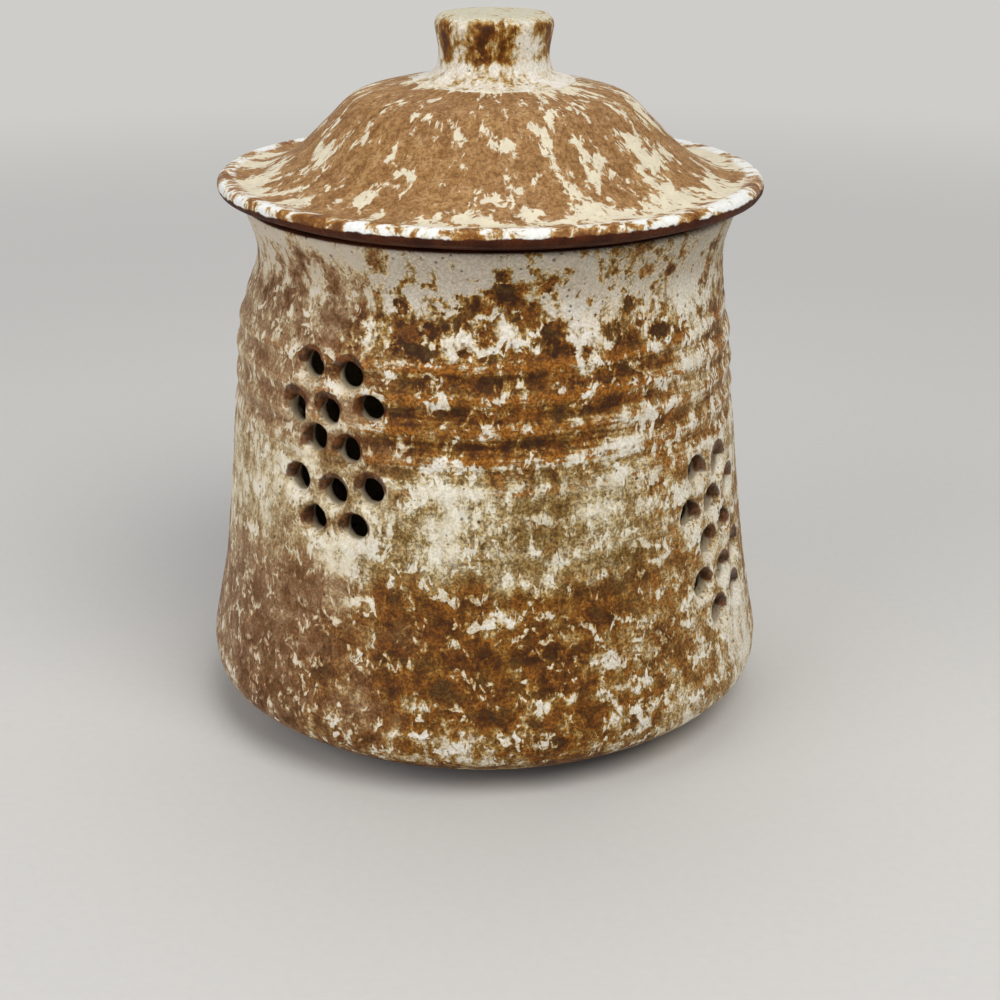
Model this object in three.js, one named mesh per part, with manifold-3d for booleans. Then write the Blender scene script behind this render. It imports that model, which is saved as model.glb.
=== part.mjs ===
// Garlic keeper: a wheel-thrown stoneware jar with groups of air holes in its wall,
// and a domed lid that drops into the mouth by a flange and lifts off by its knob.
// Millimetres, +Z up. The origin is the centre of the foot, on the surface that the jar stands on.
import * as THREE from "three";
import { mergeVertices } from "three/addons/utils/BufferGeometryUtils.js";
import Module from "manifold-3d";

const wasm = await Module();
wasm.setup();

// Base and floor
const footRadius = 60;
const footWidth = 9;
const footHeight = 1.2;
const footRecess = 2;
const footEdge = 0.8;
const floorThickness = 6.5;
const floorRadius = 58;
const insideCornerHeight = 24;

// Outside of the wall, from the base to the rim
const underRadius = 72.2;
const underHeight = 7.2;
const turnRadius = 77.3;
const turnHeight = 11.8;
const bellyRadius = 78.6;
const bellyHeight = 17.5;
const hipRadius = 76.9;
const hipHeight = 28;
const waistRadius = 74.1;
const waistHeight = 43;
const bodyRadius = 69.1;
const bodyHeight = 89;
const shoulderRadius = 67.6;
const shoulderHeight = 108;
const neckRadius = 63.1;
const neckHeight = 130;
const rimRadius = 66.5;
const rimHeight = 143;
const wall = 5;
const lipRound = 1.5;

// The neck leans a little to one side, as a hand-thrown one does, and its rim tips with it.
const neckDrift = 1.9;
const leanLow = 113;
const rimTiltDegrees = 0.3;

// One finger groove climbs the upper wall as a helix.
const groovePitch = 7.8;
const grooveDepth = 0.7;
const grooveLow = 83;
const grooveHigh = 121;
const grooveFade = 7;

// Groups of holes pierced through the wall, in rows of two and three
const holeRadius = 3.4;
const holeMouthRadius = 4.6;
const holeMouthDepth = 1.4;
const holeRowPitch = 10.15;
const holeColumnPitch = 11.7;
const holeWander = 0.65;
const wanderStepAcrossDegrees = 103;
const wanderStepUpDegrees = 155;
const holeRows = [2, 3, 2, 3, 2];
const highGroupHeight = 90.3;
const lowGroupHeight = 58.4;
const highGroupTurnDegrees = 4.5;
const lowGroupTurnDegrees = 10.5;
const frontGroupDegrees = -34.4;
const groupSpacingDegrees = 94.8;
const groupCount = 4;

// Lid, measured up from the rim
const seatGap = 0.3;
const brimOverhang = 6.4;
const lidWall = 5;
const rollRadius = 2.2;
const rollHeight = 4.5;
const brimInset = 9.7;
const brimHeight = 6.2;
const domeFootStep = 1.2;
const domeFootHeight = 10.8;
const domeSlopeRadius = 44.3;
const domeSlopeHeight = 19.3;
const domeShoulderRadius = 36.5;
const domeShoulderHeight = 26.3;
const domeCrownRadius = 27.6;
const domeCrownHeight = 29.1;
const domeHeight = 30.5;
const flangeClearance = 1.2;
const flangeWidth = 4.5;
const flangeDepth = 11;
const flangeEdge = 1;

// Knob, measured up from the flat top of the dome
const knobSeatGap = 0.3;
const knobDrift = 0.8;
const knobFootRadius = 20;
const knobFlareRadius = 15.7;
const knobFlareHeight = 2;
const knobNeckRadius = 14.6;
const knobNeckHeight = 5.6;
const knobRadius = 15.6;
const knobShoulderHeight = 13.4;
const knobRound = 2.8;
const knobCrown = 0.6;

// Facets
const jarSegments = 40;
const lidSegments = 40;
const knobSegments = 28;
const holeSegments = 10;
const ringSpacing = 8;
const ringsPerGroove = 4;
const cornerSteps = 3;
const domeSteps = 11;

const floorTop = footRecess + floorThickness;
const rimTilt = THREE.MathUtils.degToRad(rimTiltDegrees);

// Points evenly spaced along a circle arc in the [radius, height] plane
function arc(centreRadius, centreHeight, size, startDegrees, endDegrees, steps) {
  const points = [];
  for (let step = 0; step <= steps; step++) {
    const angle = THREE.MathUtils.degToRad(startDegrees + ((endDegrees - startDegrees) * step) / steps);
    points.push([centreRadius + size * Math.cos(angle), centreHeight + size * Math.sin(angle)]);
  }
  return points;
}

// A smooth curve through [radius, height] points
function throughPoints(points) {
  return new THREE.CatmullRomCurve3(points.map(([radius, height]) => new THREE.Vector3(radius, height, 0)));
}

// Points along a curve, moved sideways by a distance
function besideCurve(curve, distance, steps) {
  const points = [];
  for (let step = 0; step <= steps; step++) {
    const point = curve.getPoint(step / steps);
    const along = curve.getTangent(step / steps);
    points.push([point.x - along.y * distance, point.y + along.x * distance]);
  }
  return points;
}

// An outline turned about Z. It runs from the axis out along the underside and back along the top.
function turned(outline, segments) {
  const points = outline.map(([radius, height]) => new THREE.Vector2(radius, height));
  return new THREE.LatheGeometry(points, segments).rotateX(Math.PI / 2);
}

function solidFrom(geometry) {
  const bare = new THREE.BufferGeometry();
  bare.setAttribute("position", geometry.getAttribute("position"));
  bare.setIndex(geometry.getIndex());
  const merged = mergeVertices(bare, 1e-4);
  return new wasm.Manifold(
    new wasm.Mesh({
      numProp: 3,
      vertProperties: merged.getAttribute("position").array,
      triVerts: new Uint32Array(merged.getIndex().array),
    }),
  );
}

function geometryFrom(solid) {
  const mesh = solid.getMesh();
  const geometry = new THREE.BufferGeometry();
  geometry.setAttribute("position", new THREE.BufferAttribute(mesh.vertProperties, mesh.numProp));
  geometry.setIndex(new THREE.BufferAttribute(mesh.triVerts, 1));
  geometry.computeVertexNormals();
  return geometry;
}

const wallCurve = throughPoints([
  [footRadius + footHeight, footHeight],
  [underRadius, underHeight],
  [turnRadius, turnHeight],
  [bellyRadius, bellyHeight],
  [hipRadius, hipHeight],
  [waistRadius, waistHeight],
  [bodyRadius, bodyHeight],
  [shoulderRadius, shoulderHeight],
  [neckRadius, neckHeight],
  [rimRadius, rimHeight],
]);

// Outer radius of the plain wall at a height, found by halving the curve
function wallRadius(height) {
  let low = 0;
  let high = 1;
  for (let halving = 0; halving < 30; halving++) {
    const middle = (low + high) / 2;
    if (wallCurve.getPoint(middle).y < height) low = middle;
    else high = middle;
  }
  return wallCurve.getPoint(low).x;
}

// Rings of the wall from one height to another, the second not included
function wallRings(from, to, spacing, inset) {
  const count = Math.max(1, Math.round((to - from) / spacing));
  const rings = [];
  for (let ring = 0; ring < count; ring++) {
    const height = from + ((to - from) * ring) / count;
    rings.push([wallRadius(height) - inset, height]);
  }
  return rings;
}

// Hollow left by the finger at a height and an angle round the jar
function grooveAt(height, angle) {
  const fadeIn = THREE.MathUtils.smoothstep(height, grooveLow, grooveLow + grooveFade);
  const fadeOut = THREE.MathUtils.smoothstep(height, grooveHigh - grooveFade, grooveHigh);
  const turns = (height - grooveLow) / groovePitch - angle / (2 * Math.PI);
  return grooveDepth * fadeIn * (1 - fadeOut) * (0.5 - 0.5 * Math.cos(2 * Math.PI * turns));
}

// Cuts the helical groove into the outer face, then leans the neck and tips the rim.
function leanAndGroove(geometry) {
  const position = geometry.getAttribute("position");
  for (let vertex = 0; vertex < position.count; vertex++) {
    const height = position.getZ(vertex);
    const angle = Math.atan2(position.getX(vertex), -position.getY(vertex));
    const radius = Math.hypot(position.getX(vertex), position.getY(vertex));
    const isOutside = height > footHeight && radius > wallRadius(height) - wall / 2;
    const kept = isOutside ? radius - grooveAt(height, angle) : radius;
    const leaning = THREE.MathUtils.smoothstep(height, leanLow, neckHeight);
    const across = kept * Math.sin(angle);
    position.setXYZ(
      vertex,
      across + neckDrift * leaning,
      -kept * Math.cos(angle),
      height - across * Math.sin(rimTilt) * leaning,
    );
  }
  return geometry;
}

function jarOutline() {
  const footInside = footRadius - footWidth;
  const lipOutside = rimRadius - lipRound;
  const lipInside = rimRadius - wall + lipRound;
  const lipHeight = rimHeight - lipRound;
  const inside = [
    ...arc(lipInside, lipHeight, lipRound, 90, 180, cornerSteps),
    ...wallRings(insideCornerHeight, lipHeight, ringSpacing, wall).reverse(),
  ];
  const cornerWidth = wallRadius(insideCornerHeight) - wall - floorRadius;
  const cornerDepth = insideCornerHeight - floorTop;
  for (let step = 1; step <= cornerSteps; step++) {
    const angle = (Math.PI / 2) * (1 - step / cornerSteps);
    inside.push([floorRadius + cornerWidth * Math.sin(angle), insideCornerHeight - cornerDepth * Math.cos(angle)]);
  }
  return [
    [0, footRecess],
    [footInside - footEdge, footRecess],
    [footInside + footEdge, 0],
    [footRadius, 0],
    ...wallRings(footHeight, bellyHeight, ringSpacing / 3, 0),
    ...wallRings(bellyHeight, grooveLow, ringSpacing, 0),
    ...wallRings(grooveLow, grooveHigh, groovePitch / ringsPerGroove, 0),
    ...wallRings(grooveHigh, lipHeight, ringSpacing / 2, 0),
    ...arc(lipOutside, lipHeight, lipRound, 0, 90, cornerSteps),
    ...inside,
    [0, floorTop],
  ];
}

// A punch for one hole, along Z from the axis of the jar outwards, with the rounded mouth at the wall's face
function holePunch(faceRadius) {
  const outline = [
    [0, faceRadius - 3 * wall],
    [holeRadius, faceRadius - 3 * wall],
    [holeRadius, faceRadius - holeMouthDepth],
    [holeMouthRadius, faceRadius],
    [holeMouthRadius, faceRadius + wall],
    [0, faceRadius + wall],
  ];
  return turned(outline, holeSegments);
}

// Middle of each hole of one group, as [distance round the wall, height]. The whole group is turned a little,
// and each hole wanders a little from its place, because they are pierced by hand.
function groupHoles(height, turnDegrees) {
  const turn = THREE.MathUtils.degToRad(turnDegrees);
  const stepAcross = THREE.MathUtils.degToRad(wanderStepAcrossDegrees);
  const stepUp = THREE.MathUtils.degToRad(wanderStepUpDegrees);
  const holes = [];
  holeRows.forEach((count, row) => {
    const up = holeRowPitch * ((holeRows.length - 1) / 2 - row);
    for (let column = 0; column < count; column++) {
      const number = holes.length;
      const across = holeColumnPitch * (column - (count - 1) / 2);
      holes.push([
        across * Math.cos(turn) - up * Math.sin(turn) + holeWander * Math.sin(stepAcross * number),
        height + across * Math.sin(turn) + up * Math.cos(turn) + holeWander * Math.cos(stepUp * number),
      ]);
    }
  });
  return holes;
}

function pierced(solid) {
  let cut = solid;
  for (let group = 0; group < groupCount; group++) {
    const isHigh = group % 2 === 0;
    const groupHeight = isHigh ? highGroupHeight : lowGroupHeight;
    const groupTurn = isHigh ? highGroupTurnDegrees : lowGroupTurnDegrees;
    const groupAngle = THREE.MathUtils.degToRad(frontGroupDegrees + groupSpacingDegrees * group);
    for (const [around, height] of groupHoles(groupHeight, groupTurn)) {
      const face = wallRadius(height);
      const punch = holePunch(face);
      punch.rotateX(Math.PI / 2);
      punch.rotateZ(groupAngle + around / face);
      punch.translate(0, 0, height);
      cut = cut.subtract(solidFrom(punch));
    }
  }
  return cut;
}

function jarBody() {
  const blank = leanAndGroove(turned(jarOutline(), jarSegments));
  return geometryFrom(pierced(solidFrom(blank)));
}

function lidShell() {
  const flangeOutside = Math.min(neckRadius, rimRadius) - wall - flangeClearance;
  const flangeInside = flangeOutside - flangeWidth;
  const lidRadius = rimRadius + brimOverhang;
  const rollCentre = lidRadius - rollRadius;
  const domeCurve = throughPoints([
    [knobFootRadius, domeHeight],
    [domeCrownRadius, domeCrownHeight],
    [domeShoulderRadius, domeShoulderHeight],
    [domeSlopeRadius, domeSlopeHeight],
    [flangeInside + domeFootStep, domeFootHeight],
    [lidRadius - brimInset, brimHeight],
    [rollCentre, rollHeight + rollRadius],
  ]);
  const hollow = besideCurve(domeCurve, -lidWall, domeSteps);
  const outline = [
    [0, domeHeight - lidWall],
    ...hollow.filter(([radius]) => radius > 0 && radius < flangeInside - flangeEdge),
    [flangeInside, seatGap],
    [flangeInside, flangeEdge - flangeDepth],
    [flangeInside + flangeEdge, -flangeDepth],
    [flangeOutside - flangeEdge, -flangeDepth],
    [flangeOutside, flangeEdge - flangeDepth],
    [flangeOutside, seatGap],
    [rimRadius, seatGap],
    ...arc(rollCentre, rollHeight, rollRadius, -90, 90, 2 * cornerSteps).slice(0, -1),
    ...besideCurve(domeCurve, 0, domeSteps).reverse(),
    [0, domeHeight],
  ];
  return turned(outline, lidSegments);
}

function lidKnob() {
  const stemCurve = throughPoints([
    [knobFootRadius, 0],
    [knobFlareRadius, knobFlareHeight],
    [knobNeckRadius, knobNeckHeight],
    [knobRadius, knobShoulderHeight],
  ]);
  const outline = [
    [0, 0],
    ...besideCurve(stemCurve, 0, 2 * cornerSteps),
    ...arc(knobRadius - knobRound, knobShoulderHeight, knobRound, 0, 90, cornerSteps).slice(1),
    [0, knobShoulderHeight + knobRound + knobCrown],
  ];
  return turned(outline, knobSegments);
}

function piece(name, geometry, colour, roughness) {
  const material = new THREE.MeshStandardMaterial({ color: colour, roughness, metalness: 0 });
  const mesh = new THREE.Mesh(geometry, material);
  mesh.name = name;
  return mesh;
}

const garlicKeeper = new THREE.Group();
garlicKeeper.add(piece("jar_body", jarBody(), 0xb08a62, 0.45));

// The lid sits on the leaning rim.
const lid = new THREE.Group();
lid.position.set(neckDrift, 0, rimHeight);
lid.rotation.y = rimTilt;
lid.add(piece("lid", lidShell(), 0xa9764a, 0.6));

const knob = piece("lid_knob", lidKnob(), 0xc9bfa6, 0.4);
knob.position.set(knobDrift, 0, domeHeight + knobSeatGap);
lid.add(knob);
garlicKeeper.add(lid);

export default garlicKeeper;
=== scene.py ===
# %% [markdown]
# A garlic keeper: a thrown stoneware jar with air holes in its wall and a domed lid with a knob.
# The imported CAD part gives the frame, the sizes and the moving bodies.
# This script adds what clay and glaze do to such a pot: soft edges, finger marks, runs, flecks and speckle.
# Lengths in the tables below are millimetres, because potters and drawings use them.
# A mesh is scaled to metres when it is made.

import math

import bpy
import numpy as np
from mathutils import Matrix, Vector, noise


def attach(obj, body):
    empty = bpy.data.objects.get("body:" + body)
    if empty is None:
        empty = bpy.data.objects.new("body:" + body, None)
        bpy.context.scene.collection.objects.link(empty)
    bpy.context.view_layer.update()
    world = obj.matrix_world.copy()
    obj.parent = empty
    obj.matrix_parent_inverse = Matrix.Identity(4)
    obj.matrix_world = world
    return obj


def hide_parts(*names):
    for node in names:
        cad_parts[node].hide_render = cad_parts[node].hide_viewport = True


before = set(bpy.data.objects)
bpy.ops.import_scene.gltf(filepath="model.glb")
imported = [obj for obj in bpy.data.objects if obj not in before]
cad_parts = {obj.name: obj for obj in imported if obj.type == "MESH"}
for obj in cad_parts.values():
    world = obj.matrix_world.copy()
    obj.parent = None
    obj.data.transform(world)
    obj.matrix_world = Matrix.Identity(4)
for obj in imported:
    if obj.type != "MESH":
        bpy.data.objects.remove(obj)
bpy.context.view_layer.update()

# %% [markdown]
# The outline of the jar, as radius and height pairs up the outer wall, is the one that the CAD part has.
# The wall is the same thickness all the way up, which is what a potter aims for so that it dries evenly.
# A smooth curve through a few pairs is closer to pulled clay than straight or circular pieces are.

# %% Sizes of the jar
WALL = 5.0
RIM_RADIUS = 66.5
RIM_HEIGHT = 143.0
LIP = 1.5
NECK_DRIFT = 1.9
NECK_LEANS = (113, 130)
RIM_TILT = math.radians(0.3)
WALL_POINTS = [
    (61.2, 1.2), (72.2, 7.2), (77.3, 11.8), (78.6, 17.5), (76.9, 28.0), (74.1, 43.0),
    (69.1, 89.0), (67.6, 108.0), (63.1, 130.0), (66.5, 143.0),
]


def curve_through(points, steps=24):
    """Points of a centripetal Catmull-Rom curve through the given pairs."""
    given = np.array(points, float)
    ends = [2 * given[0] - given[1], *given, 2 * given[-1] - given[-2]]
    found = []
    for before, start, end, after in zip(ends, ends[1:], ends[2:], ends[3:]):
        gap0, gap1, gap2 = (
            math.sqrt(np.linalg.norm(b - a)) for a, b in ((before, start), (start, end), (end, after))
        )
        out = ((start - before) / gap0 - (end - before) / (gap0 + gap1) + (end - start) / gap1) * gap1
        into = ((end - start) / gap1 - (after - start) / (gap1 + gap2) + (after - end) / gap2) * gap1
        for t in np.arange(steps) / steps:
            found.append(
                start + out * t
                + (3 * (end - start) - 2 * out - into) * t**2
                + (2 * (start - end) + out + into) * t**3
            )
    return np.array([*found, given[-1]])


wall_line = curve_through(WALL_POINTS)


def wall_radius(height):
    """Outer radius of the plain wall at one height or an array of heights."""
    return np.interp(height, wall_line[:, 1], wall_line[:, 0])


def arc(radius, height, size, start, end, steps=8):
    angles = np.radians(np.linspace(start, end, steps + 1))
    return [(radius + size * math.cos(a), height + size * math.sin(a)) for a in angles]


def smooth_step(low, high, value):
    t = np.clip((value - low) / (high - low), 0, 1)
    return t * t * (3 - 2 * t)


print("wall curve:", len(wall_line), "points; radius at 100 mm:", round(float(wall_radius(100.0)), 2))

# %% [markdown]
# Thrown work starts as a turned shape, so each piece starts as an outline swept round the axis.
# The outline is cut into short, even steps first: later steps move single points, which even quads take well.

# %% Sweep an outline round the axis


def evenly(outline, step):
    """The outline again, with points about one step apart."""
    line = np.array(outline, float)
    length = np.concatenate([[0], np.cumsum(np.linalg.norm(np.diff(line, axis=0), axis=1))])
    count = max(2, int(length[-1] / step))
    at = np.linspace(0, length[-1], count)
    return np.stack([np.interp(at, length, line[:, 0]), np.interp(at, length, line[:, 1])], axis=1)


def turned(outline, segments):
    """Points and faces of an outline that starts and ends on the axis, swept round it."""
    angles = np.arange(segments) * 2 * math.pi / segments
    rings = outline[1:-1]
    radius, height = rings[:, 0, None], rings[:, 1, None]
    points = np.stack(
        [radius * np.sin(angles), -radius * np.cos(angles), height + 0 * angles], axis=-1
    ).reshape(-1, 3)
    points = np.vstack([points, [0, 0, outline[0, 1]], [0, 0, outline[-1, 1]]])
    first, last = len(points) - 2, len(points) - 1
    faces = []
    top = (len(rings) - 1) * segments
    for j in range(segments):
        k = (j + 1) % segments
        faces.append((first, k, j))
        faces.append((last, top + j, top + k))
        faces.extend(
            (i + j, i + k, i + k + segments, i + j + segments) for i in range(0, top, segments)
        )
    return points, faces


# %% [markdown]
# These helpers move numbers between a mesh and NumPy, which is much faster than a loop over points.
# A number stored on each point, called an attribute, is how the shape tells the glaze where it is.

# %% Mesh helpers


def mesh_object(name, points, faces):
    mesh = bpy.data.meshes.new(name)
    mesh.from_pydata((points * 0.001).tolist(), [], faces)
    mesh.validate()
    mesh.shade_smooth()
    made = bpy.data.objects.new(name, mesh)
    bpy.context.scene.collection.objects.link(made)
    return made


def points_of(mesh):
    flat = np.zeros(len(mesh.vertices) * 3)
    mesh.vertices.foreach_get("co", flat)
    return flat.reshape(-1, 3) * 1000


def set_points(mesh, points):
    mesh.vertices.foreach_set("co", (points * 0.001).ravel())
    mesh.update()


def note(mesh, name, values):
    """Stores one number per point, which the glaze reads later."""
    mesh.attributes.new(name, "FLOAT", "POINT").data.foreach_set("value", values.astype(np.float32))


def lumps(points, size, seed):
    """Smooth noise from -1 to 1 at each point."""
    shift = Vector((seed, -seed, 2 * seed))
    return np.array([noise.noise(Vector(p) / size + shift) for p in points.tolist()])


# %% [markdown]
# The air holes were pushed through the leather-hard wall with a tube, in groups of twelve that lean a little.
# They are cut here with one boolean, from a plain straight wall, before any leaning or grooving.
# Hand work shows in small differences of place, size and aim. The place wanders as in the CAD part,
# and a seeded random generator gives the rest.

# %% Where the holes are
HOLE_RADIUS = 3.4
MOUTH_RADIUS = 4.6
GROUP_DEGREES = (-34.4, 60.4, 155.2, 250)
HOLES_IN_ROWS = (2, 3, 2, 3, 2)
ROW_PITCH = 10.15
COLUMN_PITCH = 11.7
WANDER = 0.65
# Height of a group's middle, and how many degrees it leans
HIGH_GROUP = (90.3, 4.5)
LOW_GROUP = (58.4, 10.5)
chance = np.random.default_rng(7)


def hole_list():
    """Angle round the jar, height, and size factor of each hole."""
    found = []
    for group_number, degrees in enumerate(GROUP_DEGREES):
        middle, lean = HIGH_GROUP if group_number % 2 == 0 else LOW_GROUP
        lean = math.radians(lean)
        number = 0
        for row, count in enumerate(HOLES_IN_ROWS):
            up = ROW_PITCH * (2 - row)
            for column in range(count):
                across = COLUMN_PITCH * (column - (count - 1) / 2)
                around = across * math.cos(lean) - up * math.sin(lean) + WANDER * math.sin(1.8 * number)
                rise = across * math.sin(lean) + up * math.cos(lean) + WANDER * math.cos(2.7 * number)
                height = middle + rise
                angle = math.radians(degrees) + around / float(wall_radius(height))
                found.append((angle, height, chance.uniform(0.96, 1.03)))
                number += 1
    return found


holes = hole_list()
print(len(holes), "holes")

# %% [markdown]
# The blank jar: foot ring, outer wall, rounded lip, inner wall, rounded inside corner and floor.

# %% Turn the jar blank
FLAT_FLOOR_RADIUS = 58.0
CORNER_TOP = 24.0
CORNER_RISE = 15.5


def jar_outline():
    height = np.linspace(WALL_POINTS[0][1], RIM_HEIGHT - LIP, 150)
    outside = [(float(wall_radius(h)), float(h)) for h in height]
    inside = [(float(wall_radius(h)) - WALL, float(h)) for h in height[::-1] if h > CORNER_TOP]
    corner_width = float(wall_radius(CORNER_TOP)) - WALL - FLAT_FLOOR_RADIUS
    corner = [
        (FLAT_FLOOR_RADIUS + corner_width * math.sin(a), CORNER_TOP - CORNER_RISE * math.cos(a))
        for a in np.linspace(math.pi / 2, 0, 14)
    ]
    return [
        (0, 2), (50.2, 2), (51.8, 0.2), (52.4, 0), (59.4, 0), (60.4, 0.3), *outside,
        *arc(RIM_RADIUS - LIP, RIM_HEIGHT - LIP, LIP, 0, 90),
        *arc(RIM_RADIUS - WALL + LIP, RIM_HEIGHT - LIP, LIP, 90, 180),
        *inside, *corner, (0, CORNER_TOP - CORNER_RISE),
    ]


blank = mesh_object("jar_blank", *turned(evenly(jar_outline(), 1.2), 320))
print("blank:", len(blank.data.vertices), "points")

# %% [markdown]
# A tube that is pushed through clay leaves a straight bore, and a thumb softens its mouth.
# Each cutter has both: it reaches past the two faces, and it flares where it meets the outer one.
# Remeshing turns the cut wall into even small quads, and smoothing rounds the sharp edges of the cut.

# %% Cut the holes
CUTTER_IN = 14
CUTTER_OUT = 4


def hole_cutters():
    """One mesh of all the tubes, each flared at the outer face."""
    all_points, all_faces = [], []
    for angle, height, factor in holes:
        face = float(wall_radius(height))
        tube, mouth = HOLE_RADIUS * factor, MOUTH_RADIUS * factor
        outline = np.array([
            (0, face - CUTTER_IN), (tube, face - CUTTER_IN), (tube, face - 1.7), (tube + 0.35, face - 0.8),
            (mouth, face + 0.1), (mouth + 0.1, face + CUTTER_OUT), (0, face + CUTTER_OUT),
        ])
        points, faces = turned(outline, 28)
        along = Vector((math.sin(angle), -math.cos(angle), chance.uniform(-0.03, 0.03))).normalized()
        side = Vector((math.cos(angle), math.sin(angle), chance.uniform(-0.03, 0.03)))
        up = along.cross(side).normalized()
        side = up.cross(along)
        place = np.array([side, up, along])
        start = len(all_points)
        all_points.extend((points @ place + (0, 0, height)).tolist())
        all_faces.extend(tuple(i + start for i in f) for f in faces)
    return mesh_object("hole_cutters", np.array(all_points), all_faces)


cutters = hole_cutters()
cut = blank.modifiers.new("holes", "BOOLEAN")
cut.object = cutters
cut.operation = "DIFFERENCE"
cut.solver = "MANIFOLD"
even = blank.modifiers.new("even", "REMESH")
even.mode = "VOXEL"
even.voxel_size = 0.0009
soften = blank.modifiers.new("soften", "SMOOTH")
soften.factor = 0.5
soften.iterations = 6
shaped = bpy.data.meshes.new_from_object(blank.evaluated_get(bpy.context.evaluated_depsgraph_get()))
jar = bpy.data.objects.new("jar_fired", shaped)
bpy.context.scene.collection.objects.link(jar)
for scrap in (blank, cutters):
    bpy.data.objects.remove(scrap)
print("jar mesh:", len(shaped.vertices), "points")

# %% [markdown]
# Remeshing left the wall a few hundredths off its curve, which a glossy glaze would show.
# Away from the holes each point goes back onto the exact wall.
# Then the finger groove, faint throwing rings and the slack of wet clay are added, and the neck leans.
# How deep a point lies under the outer face, and how near it is to a hole, is stored for the glaze.

# %% The finger groove and the nearest hole
GROOVE_LOW = 83.0
GROOVE_PITCH = 7.8
GROOVE_DEPTH = 0.7
GROOVE_STARTS = (83, 90)
GROOVE_ENDS = (114, 121)
RING_PITCH = 3.4
RING_DEPTH = 0.05


def nearest_hole(points):
    """Distance from the axis of the nearest hole, and how far below that axis the point is."""
    best = np.full(len(points), 99.0)
    below = np.zeros(len(points))
    for angle, height, _ in holes:
        out = np.array([math.sin(angle), -math.cos(angle), 0.0])
        offset = points - (0, 0, height)
        along = offset @ out
        away = np.linalg.norm(offset - along[:, None] * out, axis=1)
        closer = (along > 0) & (away < best)
        best[closer] = away[closer]
        below[closer] = -offset[closer, 2]
    return best, below


def groove(height, angle):
    """Depth of the groove that one finger left while the wall turned and the hand rose."""
    turns = (height - GROOVE_LOW) / GROOVE_PITCH - angle / (2 * math.pi)
    kept = smooth_step(*GROOVE_STARTS, height) * (1 - smooth_step(*GROOVE_ENDS, height))
    return GROOVE_DEPTH * kept * (0.5 - 0.5 * np.cos(2 * math.pi * turns))


print("groove climbs", GROOVE_PITCH, "mm a turn")

# %% [markdown]
# The four notes for the glaze: under_face is the depth below the outer wall, hole_edge is 1 at a hole and
# fades out round it, hole_run is the stretch below a hole, and hole_top the upper part of its mouth.

# %% True the wall, then groove, ring and lean it


def true_wall(radius, height, away):
    """The radius, back on the outer or inner wall where it is close to one and clear of the holes."""
    plain = wall_radius(height)
    on_wall = smooth_step(3.0, 5.0, height) * (1 - smooth_step(138, 140.5, height))
    clear = smooth_step(MOUTH_RADIUS - 0.2, MOUTH_RADIUS + 1.2, away)
    for target, lowest in ((plain, 0), (plain - WALL, 26)):
        close = (np.abs(radius - target) < 0.45) & (height > lowest)
        radius = np.where(close, radius + (target - radius) * on_wall * clear, radius)
    return radius


def finish_jar(mesh):
    points = points_of(mesh)
    x, y, height = points.T
    angle = np.arctan2(x, -y)
    away, below = nearest_hole(points)
    radius = true_wall(np.hypot(x, y), height, away)
    depth = wall_radius(height) - radius
    at_mouth = 1 - smooth_step(MOUTH_RADIUS - 0.6, MOUTH_RADIUS + 1.2, away)
    note(mesh, "under_face", np.where(height > 1.5, depth, 0))
    note(mesh, "hole_edge", 1 - smooth_step(HOLE_RADIUS - 0.2, HOLE_RADIUS + 3.2, away))
    note(mesh, "hole_run", smooth_step(0, 5, below) * (1 - smooth_step(HOLE_RADIUS, 9.5, away)))
    note(mesh, "hole_top", smooth_step(-2.5, 2.0, -below) * at_mouth * (1 - smooth_step(2.5, 4.5, depth)))
    skin = 1 - smooth_step(1.0, 3.5, depth)
    slack = 0.30 * lumps(points, 26, 3) + 0.10 * lumps(points, 8, 9)
    rings = np.sin(2 * math.pi * (height / RING_PITCH - angle / (2 * math.pi)))
    rings = RING_DEPTH * rings * (1 + lumps(points, 30, 5))
    radius = radius + skin * (slack + rings - groove(height, angle)) * smooth_step(2, 12, height)
    leaning = smooth_step(*NECK_LEANS, height)
    across = radius * np.sin(angle)
    set_points(mesh, np.stack([
        across + NECK_DRIFT * leaning,
        -radius * np.cos(angle),
        height - across * math.sin(RIM_TILT) * leaning,
    ], axis=1))


finish_jar(shaped)
shaped.shade_smooth()
shaped.name = "jar_fired"
print("notes on the jar:", [a.name for a in shaped.attributes if a.name.startswith(("hole", "under"))])

# %% [markdown]
# The lid was thrown upside down and trimmed: a dome, a wide brim with a rolled edge, and a flange below.
# The knob was thrown on top of it from a small lump of clay, so its foot flows into the dome.
# Both ride in the frame of the rim, which sits off centre by the drift of the neck and tips a little.

# %% Outlines of the lid and the knob
DOME_POINTS = [
    (20.0, 30.5), (27.6, 29.1), (36.5, 26.3), (44.3, 19.3), (53.6, 10.8), (63.2, 6.2), (70.7, 6.7),
]
FLANGE_INNER = 52.4
FLANGE_OUTER = 56.9
FLANGE_DEPTH = 10.0
ROLL_CENTRE = (70.7, 4.5)
ROLL_RADIUS = 2.2
KNOB_POINTS = [(21.5, -0.3), (18.4, 0.6), (15.7, 2.3), (14.6, 5.9), (15.6, 13.7)]
KNOB_FOOT = 30.8
KNOB_CAP = (12.6, 13.7, 3.0)


def beside(line, distance):
    along = np.gradient(line, axis=0)
    along /= np.linalg.norm(along, axis=1)[:, None]
    return line + distance * np.stack([-along[:, 1], along[:, 0]], axis=1)


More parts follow.
